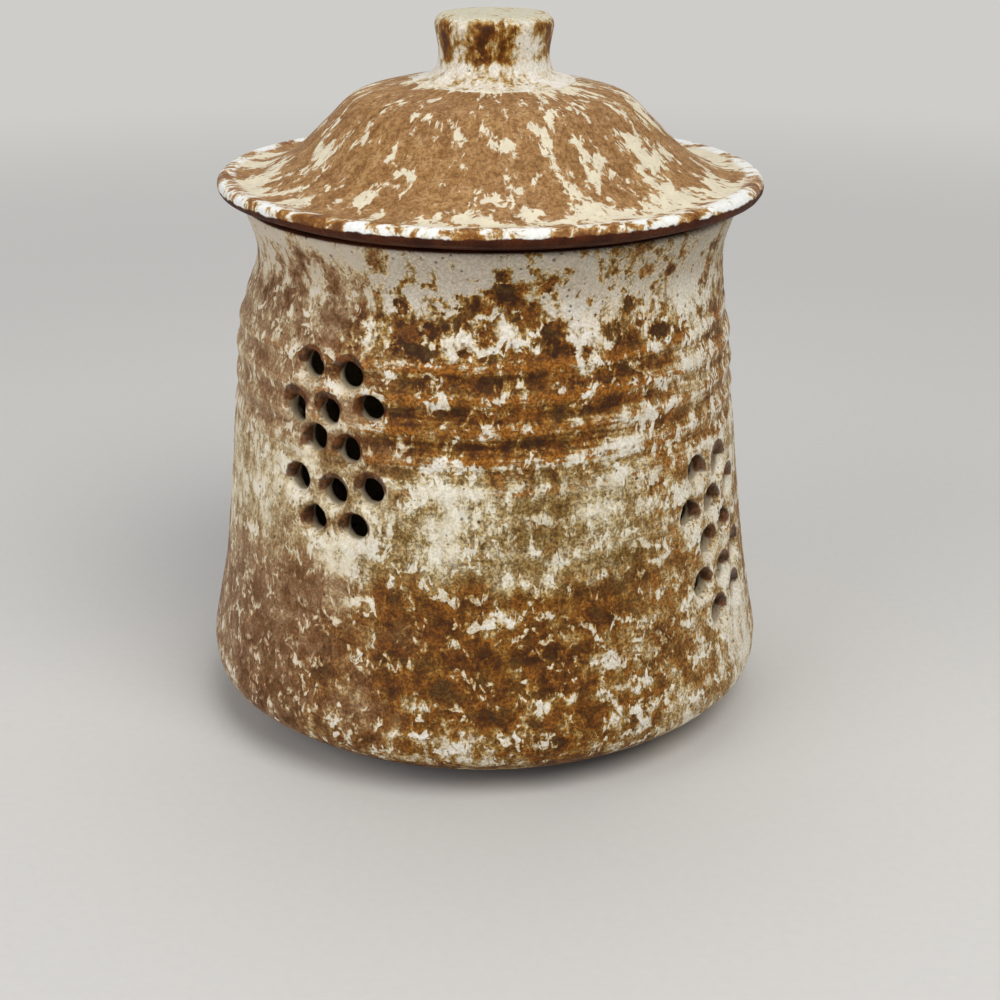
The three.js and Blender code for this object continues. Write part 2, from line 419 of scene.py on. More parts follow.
def lid_outline():
    dome = curve_through(DOME_POINTS)
    hollow = [tuple(p) for p in beside(dome, -WALL) if 0 < p[0] < FLANGE_INNER - 1]
    return [
        (0, 25.5), *hollow, (FLANGE_INNER, 0.4), (FLANGE_INNER, 0.4 - FLANGE_DEPTH),
        *arc(FLANGE_INNER + 1, -FLANGE_DEPTH, 1, 180, 270),
        *arc(FLANGE_OUTER - 1, -FLANGE_DEPTH, 1, 270, 360),
        (FLANGE_OUTER, 0.4 - FLANGE_DEPTH), (FLANGE_OUTER, 0.3), (65.5, 0.3), (66.9, 0.8),
        *arc(*ROLL_CENTRE, ROLL_RADIUS, -80, 90), *[tuple(p) for p in dome[::-1][1:]], (0, 30.5),
    ]


def knob_outline():
    stem = curve_through(KNOB_POINTS)
    return [
        (0, -2.0), (18, -2.0), (21.5, -1.2), *[tuple(p) for p in stem],
        *arc(*KNOB_CAP, 8, 84), (9, 16.85), (4, 17.0), (0, 17.0),
    ]


print("lid outline:", len(lid_outline()), "points; knob outline:", len(knob_outline()))

# %% [markdown]
# Both are swept, softened with a little noise along their normals, and set on the rim.

# %% Turn the lid and the knob


def on_the_rim(points, drift):
    """From the lid's own frame, above the rim, to the frame of the part."""
    x, y, z = points.T
    x = x + drift
    tilted = np.stack([
        x * math.cos(RIM_TILT) + z * math.sin(RIM_TILT), y, z * math.cos(RIM_TILT) - x * math.sin(RIM_TILT),
    ], axis=1)
    return tilted + (NECK_DRIFT, 0, RIM_HEIGHT)


def finish_turned(name, outline, step, segments, drift, slack):
    points, faces = turned(evenly(outline, step), segments)
    made = mesh_object(name, points, faces)
    normals = np.zeros(len(points) * 3)
    made.data.vertices.foreach_get("normal", normals)
    wobble = slack * lumps(points, 22, 4) + 0.35 * slack * lumps(points, 7, 8)
    set_points(made.data, on_the_rim(points + normals.reshape(-1, 3) * wobble[:, None], drift))
    print(name, "mesh:", len(points), "points")
    return made


lid = finish_turned("lid_fired", lid_outline(), 0.8, 360, drift=0, slack=0.16)
knob = finish_turned("knob_fired", np.array(knob_outline()) + (0, KNOB_FOOT), 0.5, 160, drift=0.8, slack=0.12)

# %% [markdown]
# Helpers that keep the node cells short: each makes one node or a few, and gives back a socket.
# Node sockets and plain numbers can be mixed freely: a socket is linked, and a number is set as its value.

# %% Node helpers


def node(tree, kind, inputs=None, **settings):
    made = tree.nodes.new(kind)
    for name, value in settings.items():
        setattr(made, name, value)
    for key, value in (inputs or {}).items():
        if isinstance(value, bpy.types.NodeSocket):
            tree.links.new(value, made.inputs[key])
        else:
            made.inputs[key].default_value = value
    return made


def calc(tree, operation, *values, clamp=False):
    sockets = dict(enumerate(values))
    return node(tree, "ShaderNodeMath", sockets, operation=operation, use_clamp=clamp).outputs[0]


def times(tree, a, b):
    return calc(tree, "MULTIPLY", a, b)


def around_zero(tree, value, amount, base=0.0):
    """A noise made to swing about zero, times an amount, added to a base."""
    return calc(tree, "MULTIPLY_ADD", calc(tree, "SUBTRACT", value, 0.5), amount, base)


def less(tree, mask, amount):
    """1 where the mask is 0, down to 1 less the amount where it is 1."""
    return calc(tree, "MULTIPLY_ADD", mask, -amount, 1.0)


def mix(tree, factor, a, b):
    return calc(tree, "MULTIPLY_ADD", calc(tree, "SUBTRACT", b, a), factor, a)


def between(tree, value, low, high, to_low=0.0, to_high=1.0):
    """Smooth step of a value, from to_low at low to to_high at high."""
    sockets = {"Value": value, "From Min": low, "From Max": high, "To Min": to_low, "To Max": to_high}
    return node(tree, "ShaderNodeMapRange", sockets, interpolation_type="SMOOTHSTEP").outputs["Result"]


def window(tree, value, start, end):
    """1 between two slopes, given as pairs of values, and 0 outside them."""
    return times(tree, between(tree, value, *start), between(tree, value, *end, 1.0, 0.0))


def blend(tree, factor, a, b):
    return node(tree, "ShaderNodeMix", {0: factor, 6: a, 7: b}, data_type="RGBA").outputs[2]


def tint(tree, base, mask, strength, shade):
    """The base colour, turned to another shade by the mask times a strength."""
    return blend(tree, times(tree, mask, strength), base, shade)


def colour(red, green, blue):
    """A colour as it is read off a screen, 0 to 255, made linear."""
    def linear(value):
        share = value / 255
        return share / 12.92 if share <= 0.04045 else ((share + 0.055) / 1.055) ** 2.4
    return (linear(red), linear(green), linear(blue), 1.0)


# %% [markdown]
# Almost every mark in a glaze starts as a noise. Its grain has a size in millimetres along each axis,
# so the point is divided by those sizes first. A shift gives each noise a pattern of its own.

# %% Noise helpers


def stretched(tree, point, x, y, z, shift=0.0):
    """The point divided by a size along each axis."""
    shares = {axis: calc(tree, "DIVIDE", 1.0, size) for axis, size in zip("XYZ", (x, y, z))}
    parts = node(tree, "ShaderNodeCombineXYZ", shares).outputs[0]
    scaled = node(tree, "ShaderNodeVectorMath", {0: point, 1: parts}, operation="MULTIPLY").outputs[0]
    offset = node(tree, "ShaderNodeCombineXYZ", {"X": shift, "Y": shift, "Z": shift}).outputs[0]
    return node(tree, "ShaderNodeVectorMath", {0: scaled, 1: offset}, operation="ADD").outputs[0]


def texture(tree, point, detail, roughness=0.5, scale=1.0, distortion=0.0):
    """Noise from about 0 to 1 at a point."""
    sockets = {
        "Vector": point, "Scale": scale, "Detail": detail, "Roughness": roughness, "Distortion": distortion,
    }
    return node(tree, "ShaderNodeTexNoise", sockets).outputs[0]


# %% [markdown]
# A node group is an effect with named inputs and outputs that several materials can use.
# In this Blender its sockets are declared on the group's interface.

# %% Group helpers
FLOAT, COLOUR, VECTOR = "NodeSocketFloat", "NodeSocketColor", "NodeSocketVector"


def group(name, inputs, outputs):
    tree = bpy.data.node_groups.new(name, "ShaderNodeTree")
    for label, kind, value in inputs:
        socket = tree.interface.new_socket(label, in_out="INPUT", socket_type=kind)
        if value is not None:
            socket.default_value = value
    for label, kind in outputs:
        tree.interface.new_socket(label, in_out="OUTPUT", socket_type=kind)
    start, end = tree.nodes.new("NodeGroupInput"), tree.nodes.new("NodeGroupOutput")
    return tree, start.outputs, end.inputs


def use(tree, made, **inputs):
    """Places a group, with its inputs given by name and an underscore for a space."""
    sockets = {name.replace("_", " "): value for name, value in inputs.items()}
    return node(tree, "ShaderNodeGroup", sockets, node_tree=made).outputs


# %% [markdown]
# On the lid the pale glaze lies over the dark one in torn patches that ran down while they were molten.
# A coarse noise decides where patches are, a finer one tears their edges, and a threshold cuts them out.
# Lace is the thin line at a patch's edge, where the two glazes have mixed.

# %% Group: torn patches
patches, given, result = group(
    "Torn patches",
    [("Point", VECTOR, None), ("Width", FLOAT, 4.0), ("Run", FLOAT, 2.0), ("Cover", FLOAT, 0.3),
     ("Softness", FLOAT, 0.012), ("Seed", FLOAT, 0.0)],
    [("Patch", FLOAT), ("Lace", FLOAT)],
)
tall = times(patches, given["Width"], given["Run"])
at = stretched(patches, given["Point"], given["Width"], given["Width"], tall, given["Seed"])
coarse = texture(patches, at, 2.0, 0.5, 0.5, 0.35)
torn = texture(patches, at, 4.0, 0.62, 1.7, 0.7)
amount = calc(patches, "ADD", times(patches, coarse, 0.6), times(patches, torn, 0.4))
edge = calc(patches, "MULTIPLY_ADD", given["Cover"], -0.25, 0.625)
above = calc(patches, "SUBTRACT", amount, edge)
minus_soft = times(patches, given["Softness"], -1.0)
patch = between(patches, above, minus_soft, given["Softness"])
lace_from = calc(patches, "SUBTRACT", minus_soft, 0.022)
wide = between(patches, above, lace_from, calc(patches, "SUBTRACT", minus_soft, 0.002))
patches.links.new(patch, result["Patch"])
patches.links.new(calc(patches, "SUBTRACT", wide, patch, clamp=True), result["Lace"])
print(patches.name, len(patches.nodes), "nodes")

# %% [markdown]
# Iron in the clay bleeds through the glaze as fine dark grain, about half a millimetre across.
# Larger single specks lie apart from each other, as grog and iron spots do.

# %% Groups: iron grain and iron specks
grain, given, result = group(
    "Iron grain", [("Point", VECTOR, None), ("Size", FLOAT, 0.5), ("Amount", FLOAT, 0.5)], [("Grain", FLOAT)]
)
at = stretched(grain, given["Point"], given["Size"], given["Size"], given["Size"])
fine = texture(grain, at, 2.0, 0.75, 0.55)
start = calc(grain, "MULTIPLY_ADD", given["Amount"], -0.18, 0.6)
grain.links.new(between(grain, fine, start, calc(grain, "ADD", start, 0.14)), result["Grain"])

specks, given, result = group(
    "Iron specks",
    [("Point", VECTOR, None), ("Spacing", FLOAT, 3.0), ("Radius", FLOAT, 0.5), ("Share", FLOAT, 0.5)],
    [("Speck", FLOAT)],
)
at = stretched(specks, given["Point"], given["Spacing"], given["Spacing"], given["Spacing"])
cells = node(specks, "ShaderNodeTexVoronoi", {"Vector": at, "Scale": 1.0, "Randomness": 1.0})
random_value = node(specks, "ShaderNodeSeparateColor", {0: cells.outputs["Color"]}).outputs
reach = times(specks, cells.outputs["Distance"], given["Spacing"])
size = times(specks, given["Radius"], calc(specks, "MULTIPLY_ADD", random_value[1], 0.7, 0.5))
dot = between(specks, reach, times(specks, size, 0.55), size, 1.0, 0.0)
kept = calc(specks, "LESS_THAN", random_value[0], given["Share"])
specks.links.new(times(specks, dot, kept), result["Speck"])
print(grain.name, "and", specks.name, "made")

# %% [markdown]
# On the jar the pale glaze melted into the dark one, and its thickness decides the colour at each point.
# The thickness is a mean that swings with noises of several sizes: wide pools, blots and ragged edges.
# Streaks are a noise stretched along Z, because the molten glaze crept down the wall.
# A tongue is the lower edge of a patch, where the creeping glaze piled up: the point lies in the patch,
# and a point a little lower doesn't. How far it reaches up changes from column to column, like flames.

# %% Group: melted thickness
melted, given, result = group(
    "Melted thickness",
    [("Point", VECTOR, None), ("Mean", FLOAT, 0.5), ("Swing", FLOAT, 1.0), ("Streaks", FLOAT, 0.5),
     ("Tongues", FLOAT, 0.5)],
    [("Thickness", FLOAT)],
)


def melted_noise(width, tall, shift, detail, distortion=0.0, point=given["Point"]):
    """Noise about zero, of the given width and height in millimetres."""
    at = stretched(melted, point, width, width, tall, shift)
    return calc(melted, "SUBTRACT", texture(melted, at, detail, 0.6, distortion=distortion), 0.5)


def piled_up(width, tall, shift, reach):
    """The lower edges of patches of noise, reaching the given height up into them."""
    raised = node(melted, "ShaderNodeCombineXYZ", {"Z": calc(melted, "MAXIMUM", reach, 0.3)}).outputs[0]
    points = {0: given["Point"], 1: raised}
    lower = node(melted, "ShaderNodeVectorMath", points, operation="SUBTRACT").outputs[0]
    inside = between(melted, melted_noise(width, tall, shift, 2.0, 0.5), 0.01, 0.06)
    outside = between(melted, melted_noise(width, tall, shift, 2.0, 0.5, lower), -0.05, 0.11, 1.0, 0.0)
    return times(melted, inside, outside)


pools = times(melted, melted_noise(13.0, 17.0, 5.0, 2.0), 1.9)
blots = calc(melted, "MULTIPLY_ADD", melted_noise(4.4, 5.6, 1.0, 3.0, 0.5), 2.6, pools)
ragged = calc(melted, "MULTIPLY_ADD", melted_noise(1.0, 1.5, 9.0, 2.0), 0.6, blots)
streaks = times(melted, given["Streaks"], melted_noise(1.6, 11.0, 3.0, 3.0))
swing = calc(melted, "MULTIPLY_ADD", streaks, 2.0, ragged)
columns = calc(melted, "MULTIPLY_ADD", melted_noise(2.1, 15.0, 50.0, 2.0), 5.5, 1.0)
reach = times(melted, columns, calc(melted, "MULTIPLY_ADD", given["Streaks"], 1.4, 0.6))
large = piled_up(5.8, 6.4, 12.0, times(melted, reach, 2.6))
small = piled_up(3.2, 4.2, 33.0, times(melted, reach, 1.5))
gather = between(melted, melted_noise(7.0, 7.0, 21.0, 2.0), -0.08, 0.08, 0.1, 1.0)
tongues = calc(melted, "MAXIMUM", large, times(melted, small, 0.8))
tongues = times(melted, times(melted, tongues, gather), given["Tongues"])
layer = calc(melted, "MULTIPLY_ADD", swing, given["Swing"], given["Mean"])
melted.links.new(calc(melted, "ADD", tongues, layer), result["Thickness"])
print(melted.name, len(melted.nodes), "nodes")

# %% [markdown]
# Some pools of pale glaze are large enough to be placed one by one: a soft oval in angle and height.

# %% Group: pool
pool, given, result = group(
    "Pool",
    [("Turn", FLOAT, None), ("Height", FLOAT, None), ("At turn", FLOAT, 0.0), ("At height", FLOAT, 0.0),
     ("Half width", FLOAT, 6.0), ("Half height", FLOAT, 8.0), ("Amount", FLOAT, 0.3)],
    [("Value", FLOAT)],
)
sideways = calc(pool, "SUBTRACT", given["Turn"], given["At turn"])
sideways = calc(pool, "DIVIDE", sideways, given["Half width"])
upwards = calc(pool, "SUBTRACT", given["Height"], given["At height"])
upwards = calc(pool, "DIVIDE", upwards, given["Half height"])
away = calc(pool, "MULTIPLY_ADD", sideways, sideways, times(pool, upwards, upwards))
fall = calc(pool, "POWER", 2.0, times(pool, away, -1.0))
pool.links.new(times(pool, fall, given["Amount"]), result["Value"])
print(pool.name, len(pool.nodes), "nodes")

# %% [markdown]
# No glaze has one even colour: it darkens and warms from place to place with its thickness.

# %% Group: uneven colour
uneven, given, result = group(
    "Uneven colour",
    [("Colour", COLOUR, None), ("Point", VECTOR, None), ("Size", FLOAT, 12.0), ("Amount", FLOAT, 0.3)],
    [("Colour", COLOUR)],
)
at = stretched(uneven, given["Point"], given["Size"], given["Size"], given["Size"], 31.0)
swing = around_zero(uneven, texture(uneven, at, 4.0, 0.6), given["Amount"])
value = calc(uneven, "MULTIPLY_ADD", swing, 4.0, 1.0)
hue = calc(uneven, "MULTIPLY_ADD", swing, 0.12, 0.5)
shifted = node(uneven, "ShaderNodeHueSaturation", {"Hue": hue, "Value": value, "Color": given["Colour"]})
uneven.links.new(shifted.outputs[0], result["Colour"])
print(uneven.name, len(uneven.nodes), "nodes")

# %% [markdown]
# Where pieces touch in the kiln they are wiped bare, or they would fuse: the seat, the lid's flange and
# underside, and the foot.
# Bare stoneware is red-brown, matt and sandy. Its colours here are darker than that: partly the clay's own
# colour, partly painted shade taken from the bare underside of the lid's brim, which lies in shade.

# %% Group: bare clay
clay, given, result = group("Bare clay", [("Point", VECTOR, None)], [("Colour", COLOUR), ("Sand", FLOAT)])
sand = texture(clay, given["Point"], 3.0, 0.7, 1.5)
drift = texture(clay, given["Point"], 2.0, scale=0.12)
# Painted shade: these clay colours are darkened to match the shaded underside of the lid's brim, beyond the
# clay's own red-brown.
warm = blend(clay, between(clay, drift, 0.35, 0.65), colour(58, 22, 5), colour(84, 40, 15))
sandy = blend(clay, between(clay, sand, 0.45, 0.62, 0.0, 0.55), warm, colour(32, 12, 3))
clay.links.new(sandy, result["Colour"])
clay.links.new(sand, result["Sand"])
print(clay.name, len(clay.nodes), "nodes")

# %% [markdown]
# Every material starts from the point in millimetres, split into x, y and height. From x and y comes the
# angle round the axis, with 0 at the front and plus to the right. Object coordinates move with a piece.
# It ends in one shader. Its specular level is low and constant, because this glaze is satin, not glass.

# %% Start and end of a material
GLAZE_SPECULAR = 0.16


def new_material(name):
    made = bpy.data.materials.new(name)
    made.use_nodes = True
    tree = made.node_tree
    tree.nodes.clear()
    place = node(tree, "ShaderNodeTexCoord").outputs["Object"]
    point = node(tree, "ShaderNodeVectorMath", {0: place, "Scale": 1000.0}, operation="SCALE").outputs[0]
    x, y, z = node(tree, "ShaderNodeSeparateXYZ", {0: point}).outputs
    return made, tree, point, x, y, z


def close_material(tree, base, roughness, relief, depth_mm):
    """Adds the shader, with a relief of the given depth, and gives back the output node."""
    bump = node(tree, "ShaderNodeBump", {"Strength": 1.0, "Distance": depth_mm * 0.001, "Height": relief})
    shader = node(tree, "ShaderNodeBsdfPrincipled", {
        "Base Color": base, "Roughness": roughness, "Normal": bump.outputs[0],
    })
    shader.inputs["Specular IOR Level"].default_value = GLAZE_SPECULAR
    return node(tree, "ShaderNodeOutputMaterial", {"Surface": shader.outputs[0]})


def angle_round(tree, x, y):
    return calc(tree, "DEGREES", calc(tree, "ARCTAN2", x, times(tree, y, -1.0)))


def ramp(tree, factor, stops):
    """A colour ramp with the given positions and colours."""
    made = node(tree, "ShaderNodeValToRGB", {0: factor})
    line = made.color_ramp
    while len(line.elements) < len(stops):
        line.elements.new(0.5)
    for element, (position, shade) in zip(line.elements, stops):
        element.position = position
        element.color = shade
    return made.outputs["Color"]


# %% [markdown]
# Short names for the groups, as each material places them several times.

# %% Marks in a glaze


def grain_at(tree, point, size, amount):
    return use(tree, grain, Point=point, Size=size, Amount=amount)["Grain"]


def specks_at(tree, point, spacing, radius, share):
    return use(tree, specks, Point=point, Spacing=spacing, Radius=radius, Share=share)["Speck"]


def unevenly(tree, shade, point, size, amount):
    return use(tree, uneven, Colour=shade, Point=point, Size=size, Amount=amount)["Colour"]


def add_pools(tree, mean, turn, height, ovals):
    """The mean thickness with soft ovals added: each has angle, height, two half sizes and an amount."""
    for at_turn, at_height, half_width, half_height, amount in ovals:
        spot = use(
            tree, pool, Turn=turn, Height=height, At_turn=at_turn, At_height=at_height,
            Half_width=half_width, Half_height=half_height, Amount=amount,
        )
        mean = calc(tree, "ADD", mean, spot["Value"])
    return mean


# %% [markdown]
# The jar was dipped and sprayed in bands, so its glaze changes with height, and a little from side to side.
# Three tables give the glaze's mean thickness and the way it melted, up the front, the left and the right.

# %% Jar glaze: the bands from foot to rim
# Height in millimetres: mean thickness, how much it swings, how streaky it is, how many pale tongues
FRONT = {
    0: (0.30, 0.5, 0.3, 0.3), 14: (0.33, 0.5, 0.4, 0.6), 21: (0.32, 0.45, 0.4, 0.6),
    30: (0.30, 0.4, 0.3, 0.55), 48: (0.28, 0.35, 0.3, 0.5), 56: (0.29, 0.35, 0.3, 0.45),
    61: (0.44, 0.35, 0.6, 0.5), 74: (0.52, 0.35, 0.9, 0.5), 84: (0.49, 0.35, 0.7, 0.5),
    89: (0.33, 0.5, 0.3, 0.5), 100: (0.29, 0.45, 0.2, 0.5), 112: (0.34, 0.5, 0.2, 0.5),
    119: (0.48, 0.8, 0.2, 0.6), 127: (0.60, 0.8, 0.2, 0.5), 134: (0.68, 0.8, 0.1, 0.2),
    143: (0.80, 0.6, 0.1, 0.0),
}
LEFT = {
    0: (0.28, 0.4, 0.4, 0.3), 14: (0.33, 0.4, 0.4, 0.6), 26: (0.31, 0.3, 0.3, 0.45),
    54: (0.34, 0.25, 0.2, 0.4), 62: (0.46, 0.35, 0.5, 0.4), 76: (0.54, 0.35, 0.6, 0.4),
    86: (0.50, 0.35, 0.4, 0.35), 94: (0.44, 0.18, 0.3, 0.3), 116: (0.44, 0.18, 0.2, 0.45),
    126: (0.48, 0.5, 0.3, 0.5), 136: (0.62, 0.7, 0.2, 0.2), 143: (0.80, 0.6, 0.1, 0.0),
}
RIGHT = {
    0: (0.40, 0.4, 0.4, 0.3), 15: (0.44, 0.4, 0.5, 0.5), 22: (0.42, 0.4, 0.4, 0.6),
    50: (0.43, 0.3, 0.5, 0.6), 66: (0.50, 0.35, 0.7, 0.6), 86: (0.50, 0.4, 0.8, 0.6),
    95: (0.46, 0.35, 0.9, 0.8), 114: (0.46, 0.35, 0.9, 0.8), 124: (0.55, 0.5, 0.8, 0.6),
    132: (0.66, 0.7, 0.5, 0.3), 143: (0.82, 0.5, 0.3, 0.0),
}


def level_ramp(tree, height, table):
    """Four numbers that change with height: three in the ramp's colour and the fourth in its alpha."""
    stops = [(level / RIM_HEIGHT, values) for level, values in table.items()]
    made = ramp(tree, calc(tree, "DIVIDE", height, RIM_HEIGHT), stops)
    return made, made.node.outputs["Alpha"]


print("levels:", len(FRONT), len(LEFT), len(RIGHT))

# %% [markdown]
# Four colour ramps turn thickness into colour, from thin dark iron brown through ochre to thick white.
# The middle band is olive where it is thin, the left went purple-brown in the kiln, and the right is paler.

# %% Jar glaze: colour by thickness
THICKNESS_STOPS = (0.0, 0.14, 0.28, 0.40, 0.50, 0.60, 0.70, 1.0)


def by_thickness(*shades):
    return [(position, colour(*shade)) for position, shade in zip(THICKNESS_STOPS, shades)]


FRONT_COLOURS = by_thickness(
    (55, 26, 1), (80, 42, 4), (110, 64, 12), (144, 94, 30),
    (169, 129, 63), (199, 171, 118), (224, 209, 180), (238, 232, 220),
)
MIDDLE_COLOURS = by_thickness(
    (100, 68, 22), (122, 90, 38), (144, 113, 60), (165, 137, 84),
    (184, 159, 110), (202, 182, 138), (218, 204, 170), (236, 229, 210),
)
LEFT_COLOURS = by_thickness(
    (72, 40, 14), (98, 62, 28), (124, 86, 50), (148, 111, 78),
    (168, 135, 98), (198, 172, 132), (220, 203, 170), (232, 222, 204),
)
RIGHT_COLOURS = by_thickness(
    (78, 42, 8), (112, 68, 20), (142, 94, 38), (170, 124, 62),
    (188, 152, 94), (208, 182, 134), (226, 210, 178), (240, 233, 216),
)
NECK_SHADE_LILAC = colour(190, 176, 155)
IRON = colour(50, 28, 10)
THIN_RUST = colour(176, 110, 36)
print("ramps of", len(FRONT_COLOURS), "colours")

# %% [markdown]
# The height that drives the bands is pushed up and down by a noise stretched along Z, which makes them run.
# The angle that parts the left and right from the front sways too.

# %% Jar glaze: where a point lies
jar_glaze, tree, point, x, y, z = new_material("fired_jar_glaze")
angle = angle_round(tree, x, y)
runs = texture(tree, stretched(tree, point, 6.0, 6.0, 70.0), 3.0, 0.6)
height = around_zero(tree, runs, 22.0, z)
sway = texture(tree, point, 3.0, scale=0.05)
turn = around_zero(tree, sway, 60.0, angle)
is_left = window(tree, turn, (-125.0, -100.0), (-40.0, -16.0))
is_right = window(tree, turn, (24.0, 48.0), (110.0, 140.0))
front_band, front_tongues = level_ramp(tree, height, FRONT)
left_band, left_tongues = level_ramp(tree, height, LEFT)
right_band, right_tongues = level_ramp(tree, height, RIGHT)
band = blend(tree, is_right, blend(tree, is_left, front_band, left_band), right_band)
mean, swing, streaky = node(tree, "ShaderNodeSeparateColor", {0: band}).outputs
tongues = mix(tree, is_right, mix(tree, is_left, front_tongues, left_tongues), right_tongues)
hole_edge, hole_run, hole_top, under_face = (
    node(tree, "ShaderNodeAttribute", attribute_name=name).outputs["Fac"]
    for name in ("hole_edge", "hole_run", "hole_top", "under_face")
)
print("jar glaze, place:", len(tree.nodes), "nodes")

# %% [markdown]
# The finger groove: its ridges are worn thin to orange. Its glaze is also made paler on the ridges and darker
# in the hollows, which is painted light on the ridges and painted shade in the hollows.
# Swipes are a noise that is wide and very low, like what a wet sponge leaves on a turning pot.

# %% Jar glaze: the groove
climb = calc(tree, "DIVIDE", calc(tree, "SUBTRACT", z, GROOVE_LOW), GROOVE_PITCH)
turns = calc(tree, "SUBTRACT", climb, calc(tree, "DIVIDE", angle, 360.0))
wave = calc(tree, "COSINE", times(tree, turns, 2 * math.pi))
starting = between(tree, z, 78.0, 88.0, 0.35, 1.0)
ending = between(tree, z, *GROOVE_ENDS, 1.0, 0.0)
in_groove = times(tree, times(tree, starting, ending), less(tree, is_left, 0.6))
broken = texture(tree, stretched(tree, point, 9.0, 9.0, 5.0), 2.0)
kept = times(tree, in_groove, between(tree, broken, 0.36, 0.60, 0.6, 1.0))
ridge = times(tree, wave, kept)
swipes = texture(tree, stretched(tree, point, 16.0, 16.0, 1.5, 8.0), 3.0, 0.6)
# Painted light and shade: the glaze is made paler on each ridge and darker in each hollow of the groove.
mean = calc(tree, "MULTIPLY_ADD", ridge, 0.19, mean)
mean = calc(tree, "MULTIPLY_ADD", around_zero(tree, swipes, 0.9), in_groove, mean)
print("jar glaze, groove:", len(tree.nodes), "nodes")

# %% [markdown]
# Glaze gathers below each hole and, on the right, in white webs between the holes.
# The large pools have places of their own. In the upper wall dark blots with torn edges broke through.

# %% Jar glaze: webs, pools and blots
# Angle, height, half width in degrees, half height, amount
POOLS = [
    (-11, 131, 6, 9, 0.15), (21, 124, 3.5, 12, 0.40), (14, 118, 5, 7, -0.20), (-14, 117, 5, 6, 0.10),
    (56, 124, 6, 16, 0.30), (29, 93, 6, 6, 0.25), (-7, 85, 9, 4, 0.30), (-8, 73, 3.5, 12, 0.28),
    (24, 80, 4, 9, 0.20), (8, 74, 5, 12, -0.12), (-32, 62, 6, 4, 0.20), (3, 50, 4, 4, 0.30),
    (-29, 50, 4, 6, 0.25), (30, 36, 5, 10, 0.20), (68, 28, 6, 16, 0.40), (40, 17, 20, 6, 0.15),
    (-8, 17, 12, 4, 0.25), (-52, 78, 10, 12, 0.12), (8, 40, 8, 5, -0.10), (-16, 40, 6, 6, -0.08),
]
mean = calc(tree, "MULTIPLY_ADD", hole_run, 0.22, mean)
webs = times(tree, between(tree, hole_edge, 0.0, 0.35), is_right)
mean = calc(tree, "MULTIPLY_ADD", webs, 0.15, mean)
far_left = window(tree, turn, (-120.0, -95.0), (-72.0, -56.0))
mean = calc(tree, "MULTIPLY_ADD", far_left, 0.12, mean)
mean = add_pools(tree, mean, angle, z, POOLS)
tearing = {"Vector": point, "Scale": 0.45, "Detail": 2.0, "Roughness": 0.7}
tearing = node(tree, "ShaderNodeTexNoise", tearing).outputs["Color"]
tearing = {0: tearing, 1: (5.0, 5.0, 5.0), 2: point}
torn = node(tree, "ShaderNodeVectorMath", tearing, operation="MULTIPLY_ADD").outputs[0]
upper = times(tree, between(tree, z, 106.0, 120.0), between(tree, z, 132.0, 142.0, 1.0, 0.35))
upper = times(tree, upper, less(tree, is_left, 0.8))
for spacing, radius, share, amount in ((6.5, 3.6, 0.8, -0.50), (3.4, 1.5, 0.32, -0.40)):
    blot = specks_at(tree, torn, spacing, radius, share)
    mean = calc(tree, "MULTIPLY_ADD", times(tree, blot, upper), amount, mean)
print("jar glaze, blots:", len(tree.nodes), "nodes")

# %% [markdown]
# The thickness becomes a colour, and then thin places turn warmer or browner from spot to spot.
# Thick glaze near the rim is turned a cool, greyish lilac white: partly the glaze's own tone, partly painted
# shade from the lid's brim.

# %% Jar glaze: colour
layer = use(tree, melted, Point=point, Mean=mean, Swing=swing, Streaks=streaky, Tongues=tongues)
thickness = layer["Thickness"]
is_pale = between(tree, thickness, 0.60, 0.85)
in_middle = window(tree, height, (54.0, 64.0), (84.0, 92.0))
in_middle = times(tree, in_middle, less(tree, is_right, 0.5))
glazed = blend(tree, in_middle, ramp(tree, thickness, FRONT_COLOURS), ramp(tree, thickness, MIDDLE_COLOURS))
left_share = times(tree, is_left, less(tree, in_middle, 0.5))
glazed = blend(tree, left_share, glazed, ramp(tree, thickness, LEFT_COLOURS))
glazed = blend(tree, is_right, glazed, ramp(tree, thickness, RIGHT_COLOURS))
warmth = texture(tree, stretched(tree, point, 6.0, 6.0, 5.0, 27.0), 3.0, 0.6)
calmer = less(tree, calc(tree, "MAXIMUM", is_left, in_middle), 0.8)
brown = times(tree, between(tree, thickness, 0.42, 0.56, 0.5, 0.0), calmer)
glazed = tint(tree, glazed, between(tree, warmth, 0.50, 0.64), brown, colour(162, 100, 34))
glazed = tint(tree, glazed, between(tree, warmth, 0.36, 0.50, 1.0, 0.0), brown, colour(104, 78, 34))
glazed = unevenly(tree, glazed, point, 9.0, 0.10)
worn = between(tree, thickness, 0.55, 0.70, 0.75, 0.0)
glazed = tint(tree, glazed, between(tree, ridge, 0.1, 0.8), worn, THIN_RUST)
dark = texture(tree, stretched(tree, point, 2.0, 2.0, 2.2, 14.0), 4.0, 0.7)
dark = times(tree, between(tree, dark, 0.54, 0.62), between(tree, thickness, 0.50, 0.66, 0.45, 0.0))
in_front = less(tree, calc(tree, "MAXIMUM", is_left, is_right), 0.7)
glazed = tint(tree, glazed, dark, in_front, colour(62, 34, 8))
# Painted shade: the thick white under the lid's brim is dulled to a greyish lilac, which is partly the
# glaze's own tone.
glazed = tint(tree, glazed, times(tree, between(tree, z, 122.0, 134.0), is_pale), 0.75, NECK_SHADE_LILAC)
print("jar glaze, colour:", len(tree.nodes), "nodes")
